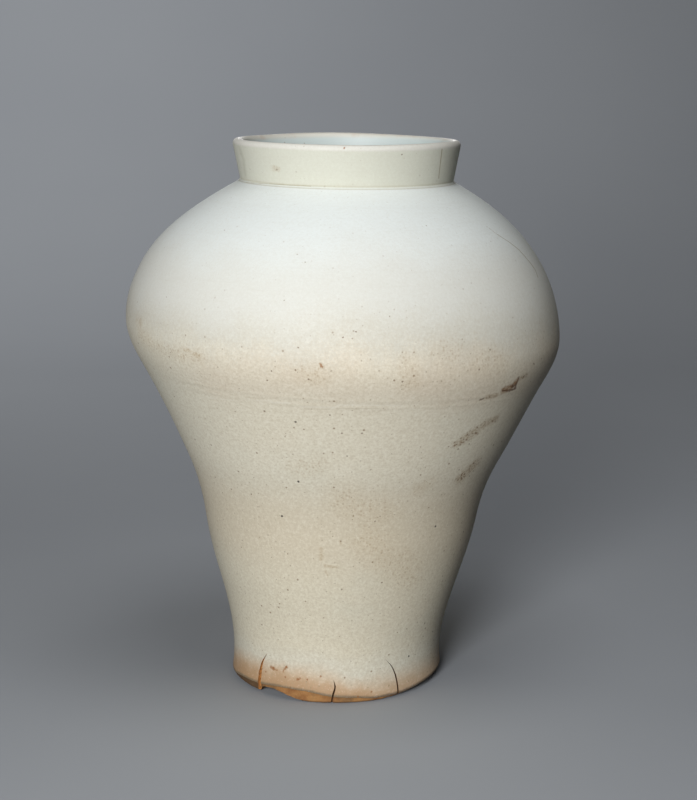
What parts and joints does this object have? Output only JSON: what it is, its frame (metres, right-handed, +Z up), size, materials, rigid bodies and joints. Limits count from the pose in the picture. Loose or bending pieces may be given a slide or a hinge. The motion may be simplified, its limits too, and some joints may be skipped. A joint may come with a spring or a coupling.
{
  "type": "porcelain jar",
  "caption": "Tall white porcelain storage jar with a broad shoulder, short flared neck and narrow foot, luted at base, belly and neck, leaning slightly, with firing cracks in its bare foot.",
  "frame": {"origin": "centre of the foot, on the surface the jar stands on", "axes": "+Z up; the jar leans about 1.2 degrees towards +X; -Y is the side that the picture shows"},
  "size_m": [0.3567, 0.3567, 0.4518],
  "materials": {
    "porcelain_body": "matte",
    "bare_foot_clay": "matte",
    "luting_slip": "matte",
    "outer_glaze": "satin",
    "inner_glaze": "satin"
  },
  "bodies": {
    "root": {"base_disc": "bare_foot_clay", "base_slip": "luting_slip", "lower_wall": "porcelain_body", "belly_slip": "luting_slip", "upper_wall": "porcelain_body", "neck_slip": "luting_slip", "neck_ring": "porcelain_body", "outer_glaze": "outer_glaze", "inner_glaze": "inner_glaze"}
  },
  "joints": []
}
